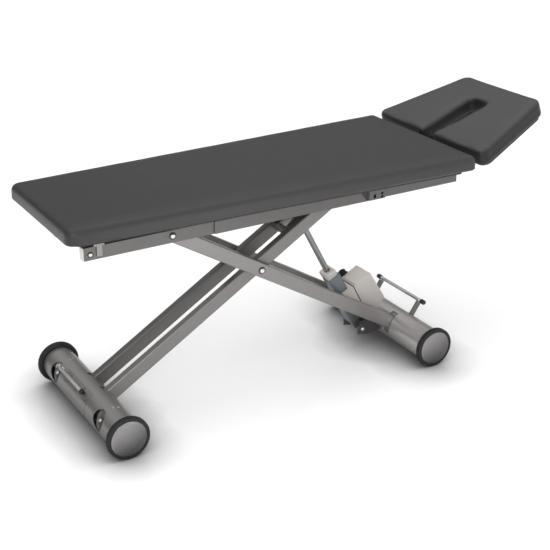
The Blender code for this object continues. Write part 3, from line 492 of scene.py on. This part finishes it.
def lathe(name, profile, look, matrix, segments, closed=False, sharp=50):
    """Turned form: profile of (radius, height) about local Z."""
    bm = bmesh.new()
    rings = []
    for radius, height in profile:
        if radius < 1e-7:
            rings.append([bm.verts.new((0, 0, height))])
        else:
            turns = [2 * pi * i / segments for i in range(segments)]
            rings.append([bm.verts.new((radius * cos(t), radius * sin(t), height)) for t in turns])
    pairs = list(zip(rings, rings[1:]))
    if closed:
        pairs.append((rings[-1], rings[0]))
    for lower, upper in pairs:
        for i in range(segments):
            j = (i + 1) % segments
            if len(lower) == 1:
                bm.faces.new((lower[0], upper[i], upper[j]))
            elif len(upper) == 1:
                bm.faces.new((lower[i], lower[j], upper[0]))
            else:
                bm.faces.new((lower[i], lower[j], upper[j], upper[i]))
    return finished(name, bm, look, matrix, sharp)


def bridge(bm, first, second):
    """Quads between two loops of the same count."""
    for i in range(len(first)):
        j = (i + 1) % len(first)
        bm.faces.new((first[i], first[j], second[j], second[i]))


def loft(name, rows, look, matrix=None, sharp=34):
    """Capped skin over a run of closed loops of points."""
    bm = bmesh.new()
    loops = [[bm.verts.new(point) for point in row] for row in rows]
    for first, second in zip(loops, loops[1:]):
        bridge(bm, first, second)
    bm.faces.new(loops[0])
    bm.faces.new(loops[-1])
    return finished(name, bm, look, matrix, sharp)


def flat_plate(name, outline, y0, y1, look, matrix=None):
    """Outline in the XZ plane with its thickness along Y."""
    return loft(name, [[(x, y, z) for x, z in outline] for y in (y0, y1)], look, matrix)


def rounded(corners, radii, steps):
    """Polygon with an arc of the given radius at each corner."""
    points = []
    for i, radius in enumerate(radii):
        before, corner, after = (Vector(corners[k % len(corners)]) for k in (i - 1, i, i + 1))
        to_before = (before - corner).normalized()
        to_after = (after - corner).normalized()
        half = (pi - to_before.angle(to_after)) / 2
        reach = radius * tan(half)
        centre = corner + (to_before + to_after).normalized() * (radius / cos(half))
        start = atan2(*(corner + to_before * reach - centre).yx)
        end = atan2(*(corner + to_after * reach - centre).yx)
        sweep = (end - start + pi) % (2 * pi) - pi
        points += [(centre.x + radius * cos(start + sweep * j / steps),
                    centre.y + radius * sin(start + sweep * j / steps)) for j in range(steps + 1)]
    return points


def rounded_box(x0, x1, z0, z1, radius, steps):
    return rounded([(x0, z0), (x1, z0), (x1, z1), (x0, z1)], [radius] * 4, steps)


def place(x, y, z):
    return Matrix.Translation((x, y, z))


def outward(s):
    """Local +Z turned to world +Y (s = 1) or -Y (s = -1)."""
    return Matrix.Rotation(-s * pi / 2, 4, "X")


def radial(x, y, degrees, radius=TUBE_R):
    """Local Z points away from a base tube's axis, local Y stays along world Y."""
    angle = radians(degrees)
    spot = place(x + radius * cos(angle), y, AXLE_Z + radius * sin(angle))
    return spot @ Matrix.Rotation(pi / 2 - angle, 4, "Y")


def fit(part, body, instead_of=None):
    """Fixes a part to the body it moves with, in place of a frame part if one is named."""
    if instead_of:
        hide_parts(instead_of)
    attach(part, body)


# ---------------------------------------------------------------- rubber rings and end caps
# (radius, distance from the table's middle plane) about the base tube's axis
RING = [
    (0.0640, 0.3166), (0.0668, 0.3170), (0.0705, 0.3164), (0.0733, 0.3148), (0.0748, 0.3126),
    (0.0753, 0.3100), (0.0753, 0.3078), (0.0744, 0.3071), (0.0744, 0.3063), (0.0753, 0.3056),
    (0.0753, 0.3030), (0.0744, 0.3023), (0.0744, 0.3015), (0.0753, 0.3008), (0.0752, 0.2985),
    (0.0745, 0.2964), (0.0728, 0.2947), (0.0702, 0.2936), (0.0668, 0.2929), (0.0620, 0.2926),
    (0.0607, 0.2930), (0.0607, 0.3139), (0.0638, 0.3143)]
CAP = [
    (0, 0.32250), (0.010, 0.32235), (0.020, 0.32190), (0.030, 0.32115), (0.040, 0.32008),
    (0.049, 0.31885), (0.0560, 0.31765), (0.0600, 0.31680), (0.0622, 0.31608), (0.0632, 0.31540),
    (0.0635, 0.31480), (0.0635, 0.31435), (0.0560, 0.31430), (0.0560, 0.3000), (0.0532, 0.3000),
    (0.0532, 0.3120), (0, 0.3120)]
for end, x in (("head", HEAD_X), ("foot", FOOT_X)):
    body = end + "_base"
    for side, s in SIDES:
        at = place(x, 0, AXLE_Z) @ outward(s)
        ring = lathe("ring_%s_%s" % (end, side), RING, tread, at, 112, closed=True, sharp=40)
        fit(ring, body, "%s_ring_%s" % (end, side))
        cap = lathe("cap_%s_%s" % (end, side), CAP, coat_cap_painted_shading, at, 112, sharp=30)
        fit(cap, body, "%s_cap_%s" % (end, side))


# ---------------------------------------------------------------- fixings
def dome_head(name, at, radius, height, body, washer):
    """Bright domed head with a small dimple, on a dark washer or none; local Z points out."""
    # (share of the radius, share of the height)
    dome = ((0, 0.90), (0.20, 0.92), (0.26, 1), (0.45, 0.96), (0.70, 0.82), (0.88, 0.58),
            (0.98, 0.28), (1, 0.0), (0, 0.0))
    fit(lathe(name, [(radius * r, height * h) for r, h in dome], zinc, at, 40), body)
    if washer:
        # (share of the radius, height)
        seat = ((0.90, -0.0006), (0.96, 0.0016), (1.20, 0.0019), (1.30, 0.0012), (1.32, -0.0006))
        seat = [(radius * r, h) for r, h in seat]
        fit(lathe(name + "_seat", seat, black, at, 40, closed=True), body)


# name, x, distance from the middle plane, z, radius, height, body, washer
DOME_HEADS = (
    ("cross_bolt", CROSS_X, 0.1041, CROSS_Z, 0.0102, 0.0072, "outer_arms", True),
    ("frame_bolt", TOP_PIVOT_X, 0.1321, TOP_PIVOT_Z, 0.0096, 0.0072, "top_frame", True),
    ("bracket_bolt", DRIVE_X, 0.0499, DRIVE_Z, 0.0085, 0.0060, "head_base", False),
    ("rail_end_bolt", FOOT_X - 0.018, 0.1317, 0.6560, 0.0072, 0.0042, "top_frame", True))
for side, s in SIDES:
    for name, x, y, z, radius, height, body, washer in DOME_HEADS:
        at = place(x, s * y, z) @ outward(s)
        dome_head("%s_%s" % (name, side), at, radius, height, body, washer)


def socket_screw(name, at, radius, body, look, height):
    profile = [(0, -0.0010), (radius * 0.42, -0.0010), (radius * 0.48, height * 0.9),
               (radius * 0.80, height), (radius * 0.96, height * 0.55), (radius, -0.0004),
               (radius * 0.9, -0.0012), (0, -0.0012)]
    fit(lathe(name, profile, look, at, 28, sharp=40), body)


# end, place, tube x, y, degrees round the tube from +X towards +Z
SET_SCREWS = (
    ("foot", "near_a", FOOT_X, -0.2028, 76), ("foot", "near_b", FOOT_X, -0.1995, 92),
    ("foot", "far_a", FOOT_X, 0.1866, 88), ("foot", "far_b", FOOT_X, 0.1990, 74),
    ("head", "near_a", HEAD_X, -0.1985, 85), ("head", "near_b", HEAD_X, -0.2055, 75),
    ("head", "far_a", HEAD_X, 0.1985, 85), ("head", "far_b", HEAD_X, 0.2055, 75))
for end, spot, x, y, degrees in SET_SCREWS:
    socket_screw("set_screw_%s_%s" % (end, spot), radial(x, y, degrees), radius=0.0042,
                 body=end + "_base", look=zinc, height=0.0012)

# degrees round the foot tube, y
COVER_SCREWS = ((119, 0.108), (121, 0.086), (149, 0.103), (145, 0.083), (145, 0.015),
                (119, -0.021), (145, -0.068), (205, 0.108), (205, -0.060))
for i, (degrees, y) in enumerate(COVER_SCREWS):
    socket_screw("cover_screw_%d" % i, radial(FOOT_X, y, degrees, TUBE_R + 0.0005), radius=0.0027,
                 body="foot_base", look=dark_metal, height=0.0008)

# round windows over the foot castors: a dished dark plate with a bright ball stud in front
WINDOW_PLATE = [(0, 0.0), (0.010, 0.0002), (0.022, 0.0016), (0.031, 0.0046), (0.0345, 0.0074),
                (0.0355, 0.0066), (0.032, 0.0030), (0.022, -0.0004), (0, -0.0020)]
STUD_R, STUD_Z = 0.0082, 0.0110                 # ball radius and the height of its centre
WINDOW_STUD = ([(0, STUD_Z + STUD_R)]
               + [(STUD_R * sin(pi * k / 12), STUD_Z + STUD_R * cos(pi * k / 12))
                  for k in range(1, 10)]
               + [(0.0034, 0.0040), (0.0056, 0.0030), (0.0060, -0.0008), (0, -0.0008)])
for side, s in SIDES:
    at = radial(FOOT_X, s * 0.190, 156, 0.0375)
    plate = lathe("window_plate_" + side, WINDOW_PLATE, window_metal, at, 64)
    fit(plate, "foot_base")
    stud = lathe("window_stud_" + side, WINDOW_STUD, stud_metal, at, 40)
    fit(stud, "foot_base")


# ---------------------------------------------------------------- slot shutters
def bent_plate(name, x, y0, y1, start, end, look):
    """Part of a ring about a base axis, between two angles in degrees."""
    inner, outer = 0.0546, 0.0562
    steps = 28
    rows = []
    for i in range(steps + 1):
        angle = radians(start + (end - start) * i / steps)
        rows.append([(x + r * cos(angle), y, AXLE_Z + r * sin(angle))
                     for r, y in ((inner, y0), (inner, y1), (outer, y1), (outer, y0))])
    return loft(name, rows, look)


# curved shutters that travel with the arms and close their slots in the base tubes:
# end, tube x, distance from the middle plane, start and end angle, body
SHUTTERS = (("head", HEAD_X, 0.0885, 92, 212, "outer_arms"),
            ("foot", FOOT_X, 0.0565, -32, 88, "inner_arms"))
SHUTTER_HALF = 0.0168
for side, s in SIDES:
    for end, x, y, start, stop, body in SHUTTERS:
        shutter = bent_plate("slot_shutter_%s_%s" % (end, side), x, s * y - SHUTTER_HALF,
                             s * y + SHUTTER_HALF, start, stop, coat)
        fit(shutter, body)

# ---------------------------------------------------------------- clamp fittings on the rails
CLAMP_FACE_Y = RAIL_Y + 0.0208
RECESS = rounded([(FOOT_X + 1.0052, 0.6760), (FOOT_X + 1.0303, 0.6425), (FOOT_X + 1.0380, 0.6425),
                  (FOOT_X + 1.0380, 0.6760)], [0.0008] * 4, steps=3)
CLAMP_SLOT = rounded_box(FOOT_X + 1.0592, FOOT_X + 1.0688, RAIL_MID_Z - 0.0150,
                         RAIL_MID_Z + 0.0010, radius=0.0046, steps=5)
CLAMP_SCREW = [(0, 0.0027), (0.0046, 0.0027), (0.0051, 0.0024), (0.0051, 0.0010),
               (0.0025, 0.0008), (0.0025, -0.0020), (0, -0.0020)]
for side, s in SIDES:
    y = s * CLAMP_FACE_Y
    # dark plate at the back of the recess by the clamp: painted shade of the recess
    recess = flat_plate("recess_painted_shade_" + side, RECESS, s * 0.1348, s * 0.1357, dark_metal)
    fit(recess, "top_frame")
    # the clamp slot is a flat near-black plate: painted shade in place of the open slot
    slot = flat_plate("clamp_slot_painted_shade_" + side, CLAMP_SLOT, y + s * 0.0010, y + s * 0.0027,
                      pit_black)
    fit(slot, "top_frame")
    for letter, dz in (("a", -0.0135), ("b", -0.0005)):
        at = place(FOOT_X + 1.0960, y, RAIL_MID_Z + dz) @ outward(s)
        screw = lathe("clamp_screw_%s_%s" % (letter, side), CLAMP_SCREW, pit_black, at, 24, sharp=40)
        fit(screw, "top_frame")

# dark strip in the seam between the two halves of the drive casing, painted shade of the gap, in the
# drive's own axes
DRIVE = place(DRIVE_X, 0, DRIVE_Z) @ Matrix.Rotation(-DRIVE_ANGLE, 4, "Y")
SEAM_SHADE_OUTLINE = rounded_box(0.1060, 0.1834, -0.0501, -0.0469, radius=0.0004, steps=2)
fit(flat_plate("casing_seam_shade", SEAM_SHADE_OUTLINE, -0.0429, 0.0429, seam_shade, DRIVE), "actuator")

# ---------------------------------------------------------------- castor lever and its ball
LEVER = radial(FOOT_X, 0.181, 131, TUBE_R + 0.0095)
HALF_W, HALF_T = 0.0050, 0.0025                 # half width and thickness of the bar
CHAMFER = 0.0008
GROOVE_Z = HALF_T - 0.0009                      # floor of the two grooves along the top
LEVER_SECTION = [
    (-HALF_W + CHAMFER, -HALF_T), (HALF_W - CHAMFER, -HALF_T), (HALF_W, -HALF_T + CHAMFER),
    (HALF_W, HALF_T - CHAMFER), (HALF_W - CHAMFER, HALF_T), (0.0030, HALF_T),
    (0.0026, GROOVE_Z), (0.0014, GROOVE_Z), (0.0010, HALF_T),
    (-0.0010, HALF_T), (-0.0014, GROOVE_Z), (-0.0026, GROOVE_Z), (-0.0030, HALF_T),
    (-HALF_W + CHAMFER, HALF_T), (-HALF_W, HALF_T - CHAMFER), (-HALF_W, -HALF_T + CHAMFER)]
# y, width scale, thickness scale
LEVER_STATIONS = ((-0.2070, 0.90, 0.85), (-0.2060, 1, 1), (-0.100, 1.0, 1.0), (0.0020, 1, 1),
                  (0.0052, 0.86, 1), (0.0070, 0.50, 1))
lever_rows = [[(x * wide, y, z * thick) for x, z in LEVER_SECTION]
              for y, wide, thick in LEVER_STATIONS]
lever = loft("lever_bar", lever_rows, bar_chrome, LEVER, sharp=25)
fit(lever, "castor_lever", "foot_lever")

BALL_R = 0.0095
BALL = ([(0, BALL_R)]
        + [(BALL_R * sin(pi * k / 20), BALL_R * cos(pi * k / 20)) for k in range(1, 19)]
        + [(0.0030, -0.0110), (0.0030, -0.0118), (0, -0.0118)])
ball = lathe("lever_ball", BALL, ball_black, LEVER @ place(0, -0.2170, 0.0005) @ outward(-1), 56)
fit(ball, "castor_lever", "foot_lever_knob")


# ---------------------------------------------------------------- pads
def pad_block(name, outline, z0, z1, top_radius, low_radius):
    """Closed block over the outline with its upper and lower edges rounded."""
    bm = bmesh.new()
    low = [bm.verts.new((x, y, z0)) for x, y in outline]
    high = [bm.verts.new((x, y, z1)) for x, y in outline]
    bridge(bm, low, high)
    bm.faces.new(low[::-1])
    bm.faces.new(high)
    bmesh.ops.recalc_face_normals(bm, faces=bm.faces)

    def bevel(is_end, radius, segments):
        edges = [e for e in bm.edges if all(is_end(v.co.z) for v in e.verts)]
        bmesh.ops.bevel(bm, geom=edges, offset=radius, offset_type="OFFSET", segments=segments,
                        profile=0.5, affect="EDGES", clamp_overlap=False)

    bevel(lambda z: z > z1 - 1e-6, top_radius, 6)
    bevel(lambda z: z < z0 + 1e-6, low_radius, 3)
    return mesh_object(name, bm)


def baked(obj, name):
    """New plain mesh object from obj with its modifiers applied; obj is removed."""
    graph = bpy.context.evaluated_depsgraph_get()
    mesh = bpy.data.meshes.new_from_object(obj.evaluated_get(graph))
    mesh.name = name
    plain = add_object(name, mesh)
    bpy.data.objects.remove(obj)
    return plain


def get_points(mesh):
    points = np.zeros(len(mesh.vertices) * 3, np.float32)
    mesh.vertices.foreach_get("co", points)
    return points.reshape(-1, 3).astype(float)


def set_points(mesh, points):
    mesh.vertices.foreach_set("co", points.astype(np.float32).ravel())
    mesh.update()


def eased(mesh, field, times):
    """Vertex field averaged over its neighbours: takes the small wrinkles out of a movement."""
    ends = np.zeros(len(mesh.edges) * 2, np.int32)
    mesh.edges.foreach_get("vertices", ends)
    a, b = ends[0::2], ends[1::2]
    size = len(field)
    count = (np.bincount(a, minlength=size) + np.bincount(b, minlength=size) + 1.0)[:, None]
    for _ in range(times):
        total = field.copy()
        for k in range(3):
            total[:, k] += np.bincount(a, field[b, k], size) + np.bincount(b, field[a, k], size)
        field = total / count
    return field


def puffed(obj, rest, z0):
    """Points of obj after 20 frames as pressurised cloth held along its underside."""
    last_frame = 20
    group = obj.vertex_groups.new(name="rests")
    group.add([int(i) for i in np.nonzero(rest[:, 2] < z0 + 0.006)[0]], 1.0, "REPLACE")
    cloth = obj.modifiers.new("cloth", "CLOTH")
    fabric = cloth.settings
    fabric.quality = 4
    fabric.mass = 0.25
    fabric.tension_stiffness = fabric.compression_stiffness = 18
    fabric.shear_stiffness = 8
    fabric.bending_stiffness = 0.8
    fabric.use_pressure = True
    fabric.uniform_pressure_force = 4.0
    fabric.effector_weights.gravity = 0.0
    fabric.vertex_group_mass = "rests"
    fabric.pin_stiffness = 1.0
    cloth.collision_settings.use_collision = False
    cloth.collision_settings.use_self_collision = False
    cloth.point_cache.frame_start = 1
    cloth.point_cache.frame_end = last_frame
    scene = bpy.context.scene
    for number in range(1, last_frame + 1):
        scene.frame_set(number)
    graph = bpy.context.evaluated_depsgraph_get()
    moved = get_points(obj.evaluated_get(graph).data)
    obj.modifiers.clear()
    scene.frame_set(1)
    return moved


def upholster(name, outline, z0, z1, top_radius, low_radius, voxel, limit, look):
    """Foam pad: a block slightly under size, remeshed, puffed up over its flat underside.

    limit is the distance the puffing can't pass.
    """
    obj = pad_block(name + "_block", outline, z0, z1, top_radius, low_radius)
    remesh = obj.modifiers.new("remesh", "REMESH")
    remesh.mode = "VOXEL"
    remesh.voxel_size = voxel
    remesh.use_smooth_shade = True
    ease = obj.modifiers.new("ease", "SMOOTH")
    ease.factor = 0.5
    ease.iterations = 6
    obj = baked(obj, name)
    points = get_points(obj.data)
    points[:, 2] = np.maximum(points[:, 2], z0)
    step = eased(obj.data, puffed(obj, points, z0) - points, 30)
    length = np.linalg.norm(step, axis=1)
    scale = limit * np.tanh(length / limit) / np.maximum(length, 1e-9)
    points = points + step * scale[:, None]
    points[:, 2] = np.maximum(points[:, 2], z0)
    set_points(obj.data, points)
    obj.data.materials.clear()
    obj.data.materials.append(look)
    obj.data.shade_smooth()
    return obj


MAIN_IN = 0.0035                                # block inside the finished outline
main_outline = rounded([(PAD_FOOT_X + MAIN_IN, -PAD_FOOT_HALF + MAIN_IN),
                        (PAD_HEAD_X - MAIN_IN, -PAD_HEAD_HALF + MAIN_IN),
                        (PAD_HEAD_X - MAIN_IN, PAD_HEAD_HALF - MAIN_IN),
                        (PAD_FOOT_X + MAIN_IN, PAD_FOOT_HALF - MAIN_IN)],
                       [0.036, 0.022, 0.022, 0.036], steps=8)
main_pad = upholster("pad_main", main_outline, PAD_Z0, PAD_Z0 + PAD_T - 0.0035, top_radius=0.020,
                     low_radius=0.006, voxel=0.006, limit=0.0040, look=skin_main)
fit(main_pad, "top_frame", "main_pad")

# head pad, in axes at its hinge; a tapering slot is cut in from the hinge side
HEAD_IN = 0.0030
HEAD_X0 = 0.0174
HEAD_X1 = HEAD_X0 + 0.3930
HEAD_Z0 = PAD_Z0 - HINGE_Z
HEAD_END_HALF = 0.2185
SLOT_MOUTH_HALF, SLOT_END_HALF, SLOT_END_X = 0.0240, 0.0440, HEAD_X0 + 0.2700
head_outline = rounded([(HEAD_X0 + HEAD_IN, -PAD_HEAD_HALF + HEAD_IN),
                        (HEAD_X1 - HEAD_IN, -HEAD_END_HALF + HEAD_IN),
                        (HEAD_X1 - HEAD_IN, HEAD_END_HALF - HEAD_IN),
                        (HEAD_X0 + HEAD_IN, PAD_HEAD_HALF - HEAD_IN),
                        (HEAD_X0 + HEAD_IN, SLOT_MOUTH_HALF + HEAD_IN),
                        (SLOT_END_X + HEAD_IN, SLOT_END_HALF + HEAD_IN),
                        (SLOT_END_X + HEAD_IN, -SLOT_END_HALF - HEAD_IN),
                        (HEAD_X0 + HEAD_IN, -SLOT_MOUTH_HALF - HEAD_IN)],
                       [0.030, 0.044, 0.044, 0.030, 0.018, 0.026, 0.026, 0.018], steps=8)
head_pad = upholster("pad_head", head_outline, HEAD_Z0, HEAD_Z0 + PAD_T - 0.0015,
                     top_radius=0.0135, low_radius=0.006, voxel=0.0044, limit=0.0030,
                     look=skin_head_painted_shading)
# the foam is a little fuller toward the free end
points = get_points(head_pad.data)
points[:, 2] += (points[:, 2] - HEAD_Z0) / PAD_T * 0.011 * (points[:, 0] - HEAD_X0)
set_points(head_pad.data, points)
head_pad.data.transform(place(HINGE_X, 0, HINGE_Z) @ Matrix.Rotation(-HEAD_TILT, 4, "Y"))
fit(head_pad, "head_section", "head_pad")


# ---------------------------------------------------------------- floor
def floor_pale():
    """Pale, slightly glossy floor with painted shadow close under the table."""
    mat = Material("floor_pale")
    # painted contact shadow: the floor's colour goes dark where the table is close
    nearness = mat.node("ShaderNodeAmbientOcclusion", Distance=0.17)
    nearness.samples = 12
    painted_shadow_openness = mat.math("POWER", nearness.outputs["AO"], 2.0)
    mat.tree.nodes.remove(mat.shader)
    matt = mat.node("ShaderNodeBsdfDiffuse", Color=mat.mix(painted_shadow_openness, grey(0.12), grey(0.95)))
    shine = mat.node("ShaderNodeBsdfGlossy", Color=grey(1.0), Roughness=0.13)
    both = mat.node("ShaderNodeMixShader", Fac=0.075)
    mat.put(both.inputs[1], matt.outputs[0])
    mat.put(both.inputs[2], shine.outputs[0])
    output = next(n for n in mat.tree.nodes if n.type == "OUTPUT_MATERIAL")
    mat.put(output.inputs["Surface"], both.outputs[0])
    return mat.material


floor_look = floor_pale()
floor_bm = bmesh.new()
bmesh.ops.create_grid(floor_bm, x_segments=1, y_segments=1, size=14)
floor = mesh_object("floor", floor_bm)
floor.location = (0, 0, -0.0002)
floor.data.materials.append(floor_look)


# ---------------------------------------------------------------- world
def studio_world():
    """Even white surround; reflections see it dim low at the far side, bright above and near."""
    world = bpy.data.worlds.new("studio")
    bpy.context.scene.world = world
    world.use_nodes = True
    net = Nodes(world.node_tree)
    direction = net.node("ShaderNodeTexCoord").outputs["Generated"]
    axes = net.node("ShaderNodeSeparateXYZ", Vector=direction)
    ramp = net.node("ShaderNodeValToRGB", Fac=axes.outputs["Z"])
    stops = ramp.color_ramp.elements
    stops[0].position = 0.36
    stops[0].color = rgb(0.14, 0.14, 0.142)
    stops[1].position = 0.92
    stops[1].color = grey(1.15)
    stops.new(0.64).color = grey(0.90)
    near_side = net.remap(axes.outputs["Y"], source=(0.45, -0.35))
    ray = net.node("ShaderNodeLightPath")
    reflected = net.mix(near_side, ramp.outputs[0], grey(1.0))
    lighting = net.mix(ray.outputs["Is Glossy Ray"], grey(1.18), reflected)
    background = net.tree.nodes["Background"]
    net.put(background.inputs["Color"], net.mix(ray.outputs["Is Camera Ray"], lighting, grey(1.0)))
    background.inputs["Strength"].default_value = 1.0


studio_world()


# ---------------------------------------------------------------- lights
def area_light(name, location, target, size, power):
    light = bpy.data.lights.new(name, "AREA")
    light.shape = "RECTANGLE"
    light.size, light.size_y = size
    light.energy = power
    obj = add_object(name, light)
    obj.location = location
    aim = Vector(target) - Vector(location)
    obj.rotation_euler = aim.to_track_quat("-Z", "Y").to_euler()
    return obj


area_light("key", location=(-2.2, -3.4, 2.4), target=(0, 0, 0.5), size=(1.1, 0.9), power=42)
area_light("top", location=(-0.6, 0.2, 4.2), target=(0, 0, 0), size=(3.4, 2.4), power=18)
low_light = area_light("low", location=(-0.25, -1.35, 0.50), target=(0.42, -0.15, 0.10),
                       size=(0.7, 0.5), power=3)
low_light.visible_camera = False

# ---------------------------------------------------------------- camera and view
CAMERA_AT = (-1.2519 + FOOT_X, -3.3193, 2.0755)
YAW, PITCH = radians(30.893), radians(23.835)   # from +Y towards +X, and downward
lens = bpy.data.cameras.new("camera")
lens.sensor_width = 36.0
lens.sensor_fit = "HORIZONTAL"
lens.lens = 76.43
camera = add_object("camera", lens)
forward = Vector((sin(YAW) * cos(PITCH), cos(YAW) * cos(PITCH), -sin(PITCH)))
right = forward.cross(Vector((0, 0, 1))).normalized()
up = right.cross(forward)
turn = Matrix((right, up, -forward)).transposed().to_4x4()
camera.matrix_world = Matrix.Translation(CAMERA_AT) @ turn
bpy.context.scene.camera = camera
view = bpy.context.scene.view_settings
view.view_transform = "Standard"
view.look = "None"
view.exposure = 0.0
view.gamma = 1.0
